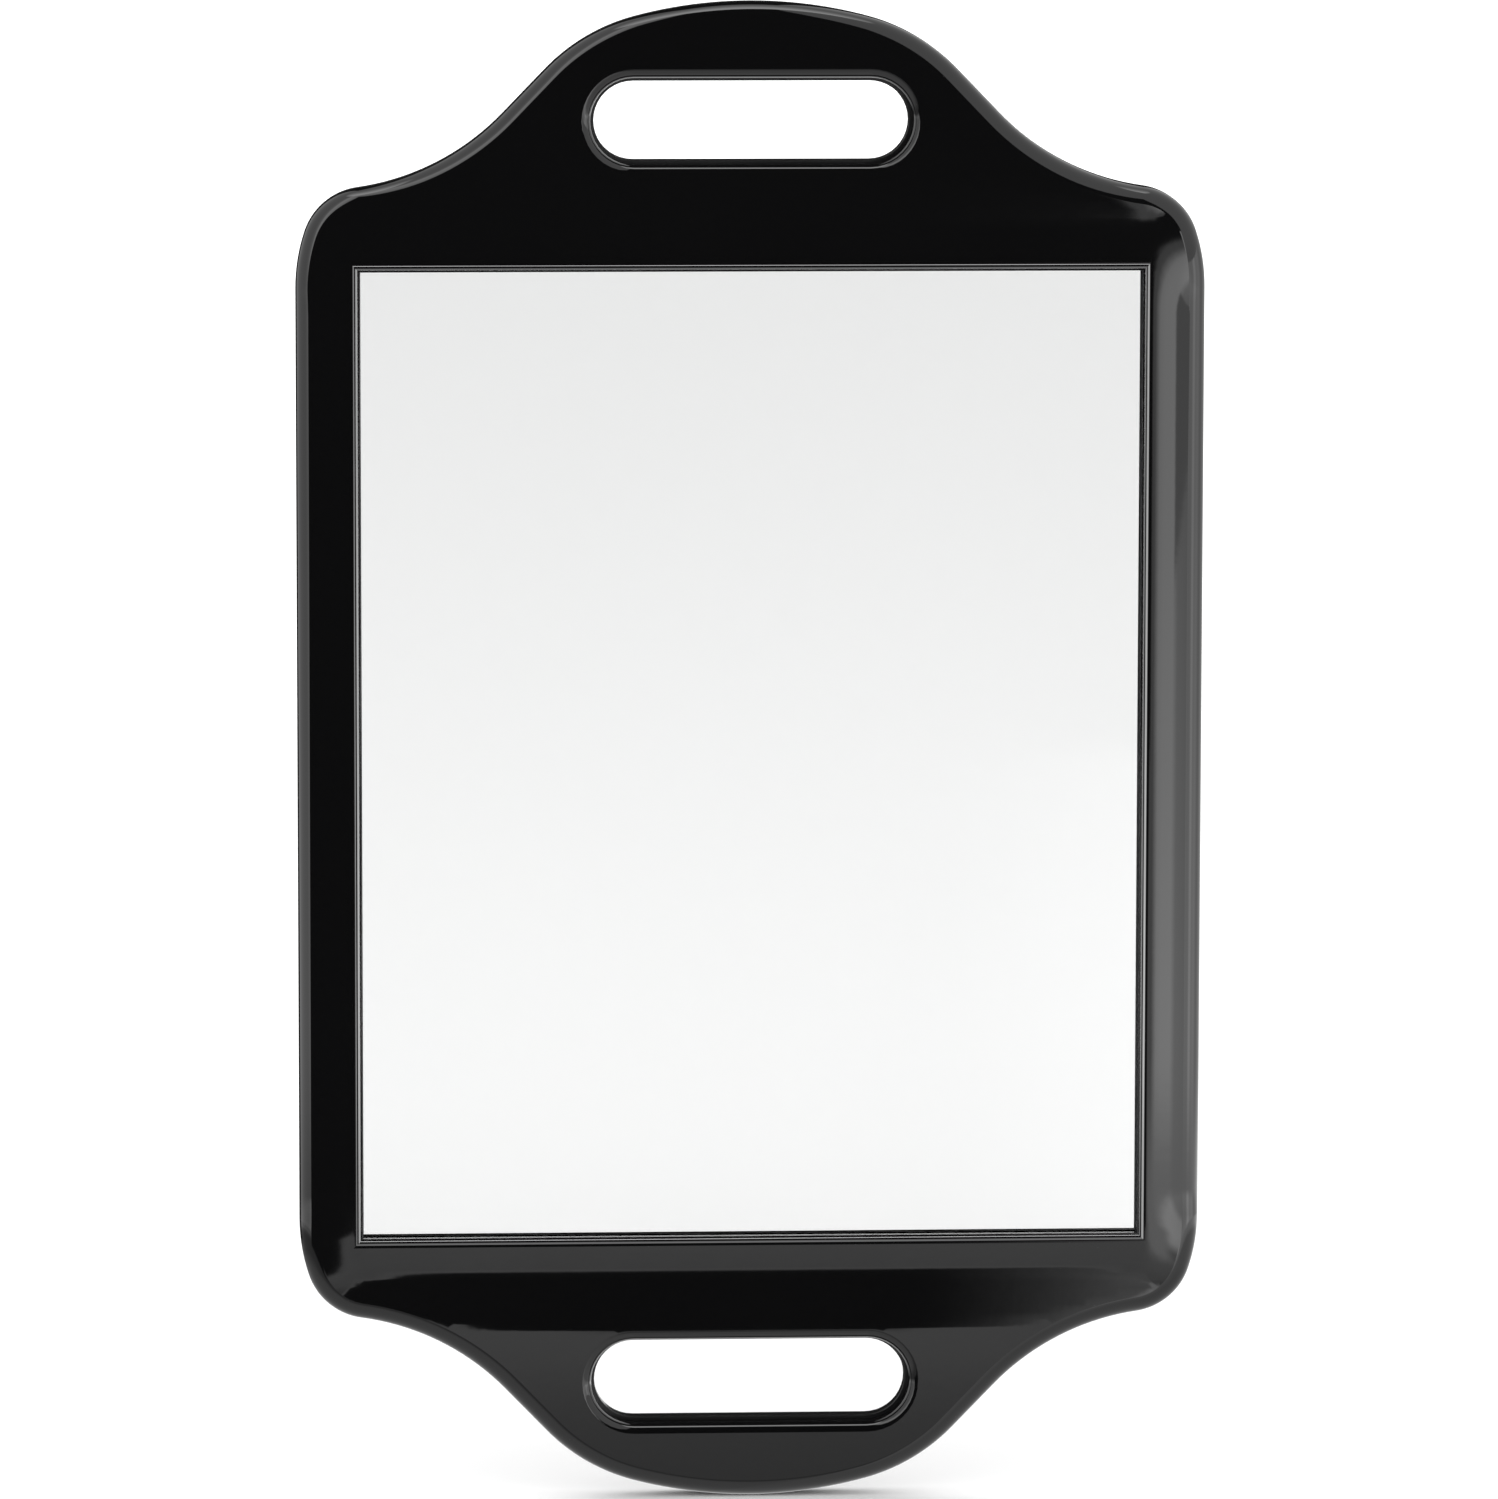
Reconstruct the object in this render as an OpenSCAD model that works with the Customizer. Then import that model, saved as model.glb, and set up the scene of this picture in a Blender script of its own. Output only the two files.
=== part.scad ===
// Two-handled barber's back mirror: a rectangular glass mirror in a two-shell plastic case.
// The mirror faces -Y and stands upright along Z. The origin is on the parting plane between
// the shells, at the middle of the upper edge of the upper finger slot, where a hook holds it.

/* [Case outline] */
// Overall width
body_w = 237; // [229:1:246]
// Overall height, handles included
body_h = 394; // [386:1:404]
// Radius of the wide arc at the end of each handle
cap_r = 118; // [105:1:130]
// Turn of that arc on each side of the middle, in degrees
cap_turn = 15; // [12:0.5:18]
// Radius of the handle's shoulder
shoulder_r = 50; // [42:1:56]
// Turn of the shoulder, in degrees
shoulder_turn = 31; // [28:0.5:34]
// Radius of the hollow curve between handle and case
neck_r = 65; // [55:1:75]
// Turn of the hollow curve, in degrees
neck_turn = 38; // [34:0.5:40]
// Radius of the case's corner
corner_r = 17; // [16:0.5:20]
// Turn of the corner, in degrees
corner_turn = 63.5; // [58:0.5:68]
// Radius that eases the corner into the straight side
side_r = 47; // [38:1:56]

/* [Case depth] */
// Depth of the front shell, from the parting plane to its face
front_depth = 6; // [5.5:0.1:8]
// Depth of the rear shell, from the parting plane to its back
rear_depth = 5.5; // [5.5:0.1:8]
// Wall thickness of the faces
wall = 2; // [1.8:0.1:2.2]
// Wall thickness of the sides
side_wall = 2.4; // [2.2:0.1:2.8]
// Rounding of the front shell's outer edge
front_edge_r = 4.5; // [2.5:0.1:4.8]
// Rounding of the rear shell's outer edge
rear_edge_r = 3; // [2.5:0.1:3.5]

/* [Finger slots] */
// Width of each slot, end to end
slot_w = 82; // [76:1:86]
// Height of each slot
slot_h = 20.5; // [18:0.5:22]
// Width of the grip bar beyond each slot
bar_w = 20.7; // [19:0.1:24]
// Amount by which the front shell's slot is wider all round than the rear shell's
slot_step = 1; // [0.5:0.1:1.5]

/* [Mirror] */
// Visible width of the mirror
window_w = 203; // [195:1:205]
// Visible height of the mirror
window_h = 254; // [246:1:256]
// Overlap of the case over each edge of the glass
lip = 2; // [1.5:0.1:2.5]
// Thickness of the glass
glass_t = 2; // [2:0.1:2.5]
// Width of the raised bead round the window
bead_w = 1.3; // [1:0.1:2]
// Height of the raised bead above the face
bead_h = 0.5; // [0.3:0.1:0.8]

/* [Screws] */
// Diameter of the screw shank, which is also the pilot hole's
screw_d = 2.5; // [2.2:0.1:2.8]
// Diameter of the screw head
head_d = 5.4; // [5:0.1:5.6]
// Number of screws along each side rail
rail_screws = 3; // [2:1:4]

/* [Hidden] */
$fn = 48;

plastic = [0.10, 0.10, 0.11];
cover_plastic = [0.14, 0.14, 0.15];
foam = [0.25, 0.25, 0.27];
steel = [0.62, 0.63, 0.65];

// The case's middle lies this far below the hook's seat
middle_drop = body_h / 2 - bar_w;
slot_z = body_h / 2 - bar_w - slot_h / 2;

// Outline: tangent arcs from the top of the handle to the side, as [radius, turn, straight run after].
// A negative radius is a hollow curve. Headings are measured downwards from +X.
slope = cap_turn + shoulder_turn;
foot = slope - neck_turn;
side_turn = 90 - foot - corner_turn;
arcs_w = cap_r * sin(cap_turn)
    + shoulder_r * (sin(slope) - sin(cap_turn))
    + neck_r * (sin(slope) - sin(foot))
    + corner_r * (sin(foot + corner_turn) - sin(foot))
    + side_r * (1 - sin(foot + corner_turn));
slope_run = (body_w / 2 - arcs_w) / cos(slope);
legs = [
    [cap_r, cap_turn, 0],
    [shoulder_r, shoulder_turn, slope_run],
    [-neck_r, -neck_turn, 0],
    [corner_r, corner_turn, 0],
    [side_r, side_turn, 0]];
arc_step = 5;
fillet_steps = 5;

// Depths along Y, from the front face to the back
face_y = -front_depth;
lip_y = face_y + wall;
seal_t = 0.5;
glass_y = lip_y + seal_t;
silver_t = 0.15;
silver_y = glass_y + glass_t;
film_t = 0.2;
film_y = silver_y + silver_t;
foam_t = 2.1;
foam_y = film_y + film_t;
land_y = foam_y + foam_t;
panel_y = rear_depth - wall;

glass_w = window_w + 2 * lip;
glass_h = window_h + 2 * lip;
glass_gap = 0.5;
fence_t = 1.2;
fence_end_y = -0.4;

tongue_gap = 0.15;
tongue_t = 1.2;
tongue_depth = 2;
rib_t = 1.4;
rib_pitch = 30;
rib_end_y = -tongue_depth - 0.2;
cover_rib_pitch = 60;
collar_t = 2;

strip_w = 12;
strip_h = 236;
strip_pitch = 80;
seal_w = lip - 0.2;

recess_t = 0.6;
recess_w = 190;
recess_h = 240;
recess_r = 6;

head_t = 1.6;
head_sink = 0.2;
head_room = 0.5;
seat_y = rear_depth - head_sink - head_t;
clear_d = screw_d + 0.7;
boss_d = 6.4;
cover_boss_d = 7.4;
shank_end_y = -4.2;
pilot_end_y = -4.5;
cross_w = 2.8;
cross_t = 0.6;
cross_depth = 1.2;

fence_w = glass_w + 2 * (glass_gap + fence_t);
fence_h = glass_h + 2 * (glass_gap + fence_t);
rail_x = (fence_w / 2 + body_w / 2 - side_wall - tongue_gap - tongue_t) / 2;
rail_span = 200;
handle_screw_x = 54;
handle_screw_z = slot_z - 3;

// Outline functions, for the case's outline moved inwards by inset
function heading(i) = i == 0 ? 0 : heading(i - 1) + legs[i - 1][1];
function swept(r, from, to) = r * [sin(to) - sin(from), cos(to) - cos(from)];
function run_after(i) = legs[i][2] * [cos(heading(i + 1)), -sin(heading(i + 1))];
function leg_start(i, inset) = i == 0
    ? [0, body_h / 2 - inset]
    : leg_start(i - 1, inset) + swept(legs[i - 1][0] - inset, heading(i - 1), heading(i)) + run_after(i - 1);
function leg_steps(i) = ceil(abs(legs[i][1]) / arc_step);
function first_step(i) = i == 0 || legs[i - 1][2] > 0 ? 0 : 1;
function leg_points(i, inset) = [
    for (k = [first_step(i):leg_steps(i)])
        leg_start(i, inset)
            + swept(legs[i][0] - inset, heading(i), heading(i) + legs[i][1] * k / leg_steps(i))];
function quarter(inset) = [for (i = [0:len(legs) - 1]) each leg_points(i, inset)];
function right_half(inset) = let (q = quarter(inset))
    concat(q, [for (i = [len(q) - 1:-1:0]) [q[i].x, -q[i].y]]);
function outline(inset) = let (r = right_half(inset))
    concat(r, [for (i = [len(r) - 2:-1:1]) [-r[i].x, r[i].y]]);

// Rings of a rounded outer edge, as [inset, distance from the parting plane]
function edge_rings(depth, r) = concat([[0, 0]], [
    for (k = [0:fillet_steps])
        let (a = 90 * k / fillet_steps) [r * (1 - cos(a)), depth - r + r * sin(a)]]);

// Moves what is drawn about the case's middle so that the hook's seat is the origin
module placed() {
    translate([0, 0, -middle_drop]) children();
}

// Extrudes a plan drawn in X and Z between two depths
module slab(y0, y1) {
    translate([0, y1, 0]) rotate([90, 0, 0]) linear_extrude(y1 - y0) children();
}

module case_plan(inset) {
    polygon(outline(inset));
}

module box_plan(w, h) {
    square([w, h], center = true);
}

module rounded_plan(w, h, r) {
    box_plan(w, h - 2 * r);
    box_plan(w - 2 * r, h);
    for (x = [-1, 1], z = [-1, 1]) translate([x * (w / 2 - r), z * (h / 2 - r)]) circle(r);
}

// Round-ended slot, grown all round by grow
module slot_plan(grow) {
    r = slot_h / 2 + grow;
    box_plan(slot_w - slot_h, 2 * r);
    for (x = [-1, 1]) translate([x * (slot_w - slot_h) / 2, 0]) circle(r);
}

module at_slots() {
    for (z = [-1, 1]) translate([0, z * slot_z]) children();
}

module ring_plan(w, h, t) {
    difference() {
        box_plan(w + 2 * t, h + 2 * t);
        box_plan(w, h);
    }
}

// Flat face across one ring of outline points, in rows between the left and the right side
function face_rows(first, count) = [
    for (i = [0:count / 2 - 1])
        [first + i, first + i + 1, first + count - i - 1, first + (count - i) % count]];

function flipped(face) = [for (i = [len(face) - 1:-1:0]) face[i]];

// Solid with a rounded outer edge, from the parting plane to depth, on the side that way points to
module rounded_case(depth, r, way) {
    rings = edge_rings(depth, r);
    count = len(outline(0));
    last = len(rings) - 1;
    points = [for (ring = rings) each [for (p = outline(ring[0])) [p.x, way * ring[1], p.y]]];
    sides = [
        for (j = [0:last - 1], i = [0:count - 1])
            let (a = j * count, b = a + count, n = (i + 1) % count) [a + i, b + i, b + n, a + n]];
    near = face_rows(0, count);
    far = [for (face = face_rows(last * count, count)) flipped(face)];
    faces = concat(sides, near, far);
    polyhedron(points, way > 0 ? faces : [for (face = faces) flipped(face)]);
}

// Screw positions in X and Z about the case's middle
module at_handle_screws(side) {
    for (x = [-1, 1]) translate([x * handle_screw_x, 0, side * handle_screw_z]) children();
}

module at_rail_screws(side) {
    for (k = [0:rail_screws - 1])
        translate([side * rail_x, 0, rail_span * (k / (rail_screws - 1) - 0.5)]) children();
}

module at_all_screws() {
    for (side = [-1, 1]) {
        at_handle_screws(side) children();
        at_rail_screws(side) children();
    }
}

// Round bar along Y between two depths
module rod(d, y0, y1) {
    translate([0, y1, 0]) rotate([90, 0, 0]) cylinder(d = d, h = y1 - y0);
}

// Stiffening ribs of the handles, from the fence round the glass to the end wall
module handle_ribs() {
    slab(lip_y - 0.5, rib_end_y) intersection() {
        case_plan(side_wall / 2);
        for (side = [-1, 1], x = [-rib_pitch, 0, rib_pitch])
            translate([x, side * (fence_h + body_h) / 4]) box_plan(rib_t, (body_h - fence_h) / 2);
    }
}

module front_frame() {
    color(plastic) placed() difference() {
        union() {
            // Hollow outer shell
            difference() {
                rounded_case(front_depth, front_edge_r, -1);
                slab(lip_y, 1) case_plan(side_wall);
            }
            // Bead round the window
            slab(face_y - bead_h, face_y + 0.5) ring_plan(window_w, window_h, bead_w);
            // Fence that locates the glass
            slab(lip_y - 0.5, fence_end_y) ring_plan(glass_w + 2 * glass_gap, glass_h + 2 * glass_gap, fence_t);
            // Collars round the finger slots
            slab(lip_y - 0.5, 0) at_slots() slot_plan(slot_step + collar_t);
            handle_ribs();
            at_all_screws() rod(boss_d, lip_y - 0.5, 0);
        }
        slab(face_y - 1, lip_y + 1) box_plan(window_w, window_h);
        slab(face_y - 1, 1) at_slots() slot_plan(slot_step);
        at_all_screws() rod(screw_d, pilot_end_y, 1);
    }
}

module rear_cover() {
    color(cover_plastic) placed() difference() {
        union() {
            // Hollow outer shell
            difference() {
                rounded_case(rear_depth, rear_edge_r, 1);
                slab(-1, panel_y) case_plan(side_wall);
            }
            // Tongue that fits inside the front shell's wall
            slab(-tongue_depth, panel_y + 0.5) difference() {
                case_plan(side_wall + tongue_gap);
                case_plan(side_wall + tongue_gap + tongue_t);
            }
            // Collars round the finger slots
            slab(0, panel_y + 0.5) at_slots() slot_plan(collar_t);
            // Lands that press the foam strips against the mirror
            for (k = [-1:1])
                translate([k * strip_pitch, 0, 0]) slab(land_y, panel_y + 0.5) box_plan(strip_w, strip_h);
            // Stiffening ribs across the lands
            for (z = [-1.5:1.5])
                translate([0, 0, z * cover_rib_pitch])
                    slab(land_y + 0.6, panel_y + 0.5) box_plan(glass_w - 6, rib_t);
            at_all_screws() rod(cover_boss_d, 0, panel_y + 0.5);
        }
        slab(rear_depth - recess_t, rear_depth + 1) rounded_plan(recess_w, recess_h, recess_r);
        slab(-1, rear_depth + 1) at_slots() slot_plan(0);
        at_all_screws() rod(clear_d, -1, rear_depth + 1);
        at_all_screws() rod(head_d + head_room, seat_y, rear_depth + 1);
    }
}

module mirror_glass() {
    color([0.80, 0.88, 0.88]) placed() slab(glass_y, silver_y) box_plan(glass_w, glass_h);
}

module silver_coating() {
    color([0.90, 0.91, 0.92]) placed() slab(silver_y, film_y) box_plan(glass_w, glass_h);
}

module safety_film() {
    color([0.55, 0.60, 0.66]) placed() slab(film_y, foam_y) box_plan(glass_w, glass_h);
}

// Foam strip between the case's lip and the glass, along the top or the bottom
module seal_across(side) {
    color(foam) placed() translate([0, 0, side * (glass_h - seal_w) / 2])
        slab(lip_y, glass_y) box_plan(glass_w, seal_w);
}

// Foam strip between the case's lip and the glass, along one side
module seal_upright(side) {
    color(foam) placed() translate([side * (glass_w - seal_w) / 2, 0, 0])
        slab(lip_y, glass_y) box_plan(seal_w, glass_h - 2 * seal_w);
}

module backing_strip(k) {
    color(foam) placed() translate([k * strip_pitch, 0, 0])
        slab(foam_y, land_y) box_plan(strip_w, strip_h);
}

// Self-tapping pan-head screw with a cross recess, head towards +Y
module screw() {
    difference() {
        union() {
            rod(screw_d, shank_end_y, seat_y + 0.2);
            rod(head_d, seat_y, seat_y + head_t);
        }
        for (a = [0, 90])
            rotate([0, a, 0]) translate([0, seat_y + head_t, 0])
                cube([cross_w, 2 * cross_depth, cross_t], center = true);
    }
}

module handle_screws(side) {
    color(steel) placed() at_handle_screws(side) screw();
}

module rail_screw_row(side) {
    color(steel) placed() at_rail_screws(side) screw();
}

front_frame();
rear_cover();
mirror_glass();
silver_coating();
safety_film();
seal_across(1);  // seal_strip_top
seal_across(-1);  // seal_strip_bottom
seal_upright(-1);  // seal_strip_left
seal_upright(1);  // seal_strip_right
backing_strip(-1);  // backing_strip_left
backing_strip(0);  // backing_strip_center
backing_strip(1);  // backing_strip_right
handle_screws(1);  // upper_handle_screws
handle_screws(-1);  // lower_handle_screws
rail_screw_row(-1);  // left_rail_screws
rail_screw_row(1);  // right_rail_screws
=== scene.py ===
"""Two-handled barber's back mirror: detailed shells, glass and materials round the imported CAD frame."""

import math

import bmesh
import bpy
import numpy as np
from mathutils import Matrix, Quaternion, Vector
from mathutils.geometry import delaunay_2d_cdt


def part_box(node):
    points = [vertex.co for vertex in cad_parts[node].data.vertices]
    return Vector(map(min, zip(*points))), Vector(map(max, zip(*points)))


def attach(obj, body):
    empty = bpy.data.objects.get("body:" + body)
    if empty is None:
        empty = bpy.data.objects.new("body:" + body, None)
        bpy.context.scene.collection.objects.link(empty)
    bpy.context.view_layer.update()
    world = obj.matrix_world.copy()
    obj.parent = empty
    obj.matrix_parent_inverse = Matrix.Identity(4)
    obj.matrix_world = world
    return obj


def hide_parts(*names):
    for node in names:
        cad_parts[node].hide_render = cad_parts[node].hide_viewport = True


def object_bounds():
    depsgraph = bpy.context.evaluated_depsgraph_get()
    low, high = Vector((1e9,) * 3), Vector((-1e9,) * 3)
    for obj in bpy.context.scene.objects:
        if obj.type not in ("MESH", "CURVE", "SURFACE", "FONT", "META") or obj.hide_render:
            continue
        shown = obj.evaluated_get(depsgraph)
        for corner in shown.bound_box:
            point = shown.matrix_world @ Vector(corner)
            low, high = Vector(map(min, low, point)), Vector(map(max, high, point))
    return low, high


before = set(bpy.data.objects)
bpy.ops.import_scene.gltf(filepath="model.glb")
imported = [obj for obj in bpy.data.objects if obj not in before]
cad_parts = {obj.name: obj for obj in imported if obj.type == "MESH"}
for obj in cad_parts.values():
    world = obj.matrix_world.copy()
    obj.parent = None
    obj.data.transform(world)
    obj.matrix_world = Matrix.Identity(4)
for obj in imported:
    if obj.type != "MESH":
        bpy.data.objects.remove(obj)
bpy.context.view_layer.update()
MM = 0.001

# ---------------------------------------------------------------- sizes, in metres, from the frame
FRONT_LO, FRONT_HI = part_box("front_frame")
REAR_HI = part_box("rear_cover")[1]
GLASS_LO, GLASS_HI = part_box("mirror_glass")
SILVER_LO, SILVER_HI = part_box("silver_coating")
SEAL_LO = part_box("seal_strip_top")[0]

BODY_W = FRONT_HI.x - FRONT_LO.x
BODY_H = FRONT_HI.z - FRONT_LO.z
MID_Z = (FRONT_HI.z + FRONT_LO.z) / 2
GLASS_W = GLASS_HI.x - GLASS_LO.x
GLASS_H = GLASS_HI.z - GLASS_LO.z

# The outline's tangent arcs: radius (negative where hollow), turn in degrees, sampling steps
CAP = (118 * MM, 15.0, 12)
SHOULDER = (50 * MM, 31.0, 14)
NECK = (-65 * MM, -38.0, 18)
CORNER = (17 * MM, 63.5, 20)
SIDE = (47 * MM, 18.5, 8)
SLOPE_STEPS = 6
SIDE_STEPS = 36

SIDE_WALL = 2.4 * MM
FACE_WALL = 2 * MM
BEAD_H = 0.5 * MM
FRONT_D = -FRONT_LO.y - BEAD_H
REAR_D = REAR_HI.y
FRONT_EDGE_R = 4.5 * MM
REAR_EDGE_R = 3 * MM
PARTING_CHAMFER = 0.25 * MM

SLOT_W = 82 * MM
SLOT_H = 20.5 * MM
SLOT_Z = -SLOT_H / 2 - MID_Z
SLOT_STEP = 1 * MM
SLOT_RIM_R = 2.45 * MM
COLLAR_T = 2 * MM

LIP = 2 * MM
WINDOW_W = GLASS_W - 2 * LIP
WINDOW_H = GLASS_H - 2 * LIP
LIP_D = -SEAL_LO.y

CROWN_REACH = 14.5 * MM
CROWN_TILT = math.radians(5.5)
# The crown is on the two rails, and fades out round the corners
CROWN_TO = 127 * MM
CROWN_EASE = 22 * MM
# The strip past the window falls away a little, up to the swell
STRIP_TILT = math.radians(0.3)
STRIP_FROM = 126.5 * MM
STRIP_EASE = 2 * MM
# The swell on each handle, between the window and the finger slot
SWELL_TILT = math.radians(1.5)
SWELL_FROM = 137.7 * MM
SWELL_TO = 151.4 * MM
SWELL_HALF = 100 * MM
SWELL_NARROWS = (1.6 * MM, 14)
SWELL_RISES = (7 * MM, 4)
SWELL_EASE = 3 * MM

FACE_GRID = 2.4 * MM

# Inside the case
CHAMBER_D = LIP_D
FENCE_GAP = 0.5 * MM
FENCE_T = 1.2 * MM
FENCE_END = 0.4 * MM
RIB_T = 1.4 * MM
RIB_X = (-30 * MM, 0.0, 30 * MM)
RIB_END = 2.2 * MM
BOSS_R = 3.2 * MM
PILOT_R = 1.25 * MM
PILOT_D = 4.5 * MM
PANEL_D = REAR_D - FACE_WALL
TONGUE_FROM = 2.55 * MM
TONGUE_TO = 3.75 * MM
TONGUE_D = 2 * MM
LAND_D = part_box("backing_strip_center")[1].y
LAND_W = 12 * MM
LAND_H = 236 * MM
LAND_X = (-80 * MM, 0.0, 80 * MM)
COVER_RIB_D = LAND_D + 0.6 * MM
COVER_RIB_W = 201 * MM
COVER_RIB_Z = (-90 * MM, -30 * MM, 30 * MM, 90 * MM)
COVER_BOSS_R = 3.7 * MM
CLEAR_R = 1.6 * MM
SEAT_D = 3.7 * MM
POCKET_R = 2.95 * MM
RECESS_W = 190 * MM
RECESS_H = 240 * MM
RECESS_R = 6 * MM
RECESS_T = 0.6 * MM
REAR_SLOT_R = 1.5 * MM
LEDGE_R = 0.2 * MM
POCKET_CHAMFER = 0.25 * MM
RAIL_SCREW_X = 109.975 * MM
RAIL_SCREW_Z = (-100 * MM, 0.0, 100 * MM)
HANDLE_SCREW_X = 54 * MM
HANDLE_SCREW_Z = SLOT_Z - 3 * MM


def eased_step(t, width):
    """A step from 0 to 1 round t = 0, its integral, both eased over width."""
    u = np.clip(t / width + 0.5, 0.0, 1.0)
    return u * u * (3 - 2 * u), width * (u**3 - u**4 / 2) + np.maximum(t - width / 2, 0.0)


def eased_slope(t, width):
    """The slope of eased_step."""
    u = np.clip(t / width + 0.5, 0.0, 1.0)
    return 6 * u * (1 - u) / width


# ---------------------------------------------------------------- outline
def heading_out(a):
    """Outward direction of the outline where it runs at a degrees below +X."""
    return np.array([math.sin(math.radians(a)), math.cos(math.radians(a))])


def make_legs():
    """The upper right quarter of the outline, as arcs and straight runs from the top to the side."""
    arcs = [CAP, SHOULDER, None, NECK, CORNER, SIDE]
    heading, width = 0.0, 0.0
    for arc in arcs:
        if arc is None:
            slope = heading
            continue
        start = heading
        heading += arc[1]
        width += arc[0] * (heading_out(heading)[0] - heading_out(start)[0])
    run = (BODY_W / 2 - width) / math.cos(math.radians(slope))
    legs, heading, at = [], 0.0, np.array([0.0, BODY_H / 2])
    for arc in arcs:
        out = heading_out(heading)
        if arc is None:
            along = np.array([out[1], -out[0]])
            legs.append({"at": at, "out": out, "along": along, "run": run, "steps": SLOPE_STEPS})
            at = at + along * run
            continue
        radius, turn, steps = arc
        centre = at - out * radius
        legs.append({"centre": centre, "radius": radius, "from": heading, "turn": turn, "steps": steps})
        heading += turn
        at = centre + heading_out(heading) * radius
    down = np.array([0.0, -1.0])
    legs.append({"at": at, "out": np.array([1.0, 0.0]), "along": down, "run": at[1], "steps": SIDE_STEPS})
    return legs


LEGS = make_legs()


def quarter():
    """Points and outward directions of the upper right quarter."""
    points, outs = [], []
    for leg in LEGS:
        for k in range(leg["steps"]):
            t = k / leg["steps"]
            if "centre" in leg:
                out = heading_out(leg["from"] + leg["turn"] * t)
                points.append(leg["centre"] + out * leg["radius"])
            else:
                out = leg["out"]
                points.append(leg["at"] + leg["along"] * leg["run"] * t)
            outs.append(out)
    last = LEGS[-1]
    points.append(last["at"] + last["along"] * last["run"])
    outs.append(last["out"])
    return np.array(points), np.array(outs)


def whole_outline():
    p, o = quarter()
    flip_z, flip_x = np.array([1, -1]), np.array([-1, 1])
    p = np.vstack([p, p[-2::-1] * flip_z])
    o = np.vstack([o, o[-2::-1] * flip_z])
    return np.vstack([p, p[-2:0:-1] * flip_x]), np.vstack([o, o[-2:0:-1] * flip_x])


OUTLINE, OUTLINE_OUT = whole_outline()


def outline_at(inset):
    return OUTLINE - OUTLINE_OUT * inset


def inset_of(points):
    """How far inside the outline each point lies, and the outward direction there."""
    folded = np.abs(points)
    signs = np.where(points < 0, -1.0, 1.0)
    best = np.full(len(points), 1e9)
    outs = np.zeros_like(points)
    for leg in LEGS:
        if "centre" in leg:
            sign = 1.0 if leg["radius"] > 0 else -1.0
            v = folded - leg["centre"]
            length = np.maximum(np.hypot(v[:, 0], v[:, 1]), 1e-9)
            out = sign * v / length[:, None]
            angle = np.degrees(np.arctan2(out[:, 0], out[:, 1]))
            low, high = sorted((leg["from"], leg["from"] + leg["turn"]))
            inset = sign * (abs(leg["radius"]) - length)
            within = (angle >= low - 0.01) & (angle <= high + 0.01) & (length > 1e-6)
        else:
            v = folded - leg["at"]
            t = v @ leg["along"]
            inset = -(v @ leg["out"])
            out = np.tile(leg["out"], (len(points), 1))
            within = (t >= -1e-5) & (t <= leg["run"] + 1e-5)
        nearer = within & (inset < best) & (inset > -1 * MM)
        best = np.where(nearer, inset, best)
        outs[nearer] = out[nearer]
    return best, outs * signs


# ---------------------------------------------------------------- the faces as height fields
def tapered(x, amount, power):
    """How far an edge of the swell has moved at x, and the slope of that."""
    share = np.abs(x) / SWELL_HALF
    return amount * share**power, np.sign(x) * amount * power / SWELL_HALF * share ** (power - 1)


def front_height(points):
    """Height of the front face above the parting plane, before its edges are rounded, with its slopes."""
    inset, outs = inset_of(points)
    curve = math.tan(CROWN_TILT) / (CROWN_REACH - FRONT_EDGE_R)
    reach = np.clip(CROWN_REACH - inset, 0.0, CROWN_REACH)
    x, z = points[:, 0], points[:, 1]
    past, _ = eased_step(np.abs(z) - CROWN_TO, CROWN_EASE)
    fading = eased_slope(np.abs(z) - CROWN_TO, CROWN_EASE)
    height = FRONT_D - (1 - past) * curve * reach**2 / 2
    slopes = outs * (-(1 - past) * curve * reach)[:, None]
    slopes[:, 1] += fading * np.sign(z) * curve * reach**2 / 2
    tilt, fall = math.tan(SWELL_TILT), math.tan(STRIP_TILT)
    dip, sink = eased_step(np.abs(z) - STRIP_FROM, STRIP_EASE)
    late, late_slope = tapered(x, *SWELL_NARROWS)
    early, early_slope = tapered(x, *SWELL_RISES)
    rise, climb = eased_step(np.abs(z) - SWELL_FROM - late, SWELL_EASE)
    settle, stop = eased_step(np.abs(z) - SWELL_TO + early, SWELL_EASE)
    height = height + tilt * (climb - stop) - fall * (sink - climb)
    slopes[:, 0] -= (tilt + fall) * rise * late_slope + tilt * settle * early_slope
    slopes[:, 1] += (tilt * (rise - settle) - fall * (dip - rise)) * np.sign(z)
    return height, slopes


def rear_height(points):
    return np.full(len(points), REAR_D), np.zeros_like(points)


def recess_height(points):
    return np.full(len(points), REAR_D - RECESS_T), np.zeros_like(points)


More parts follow.
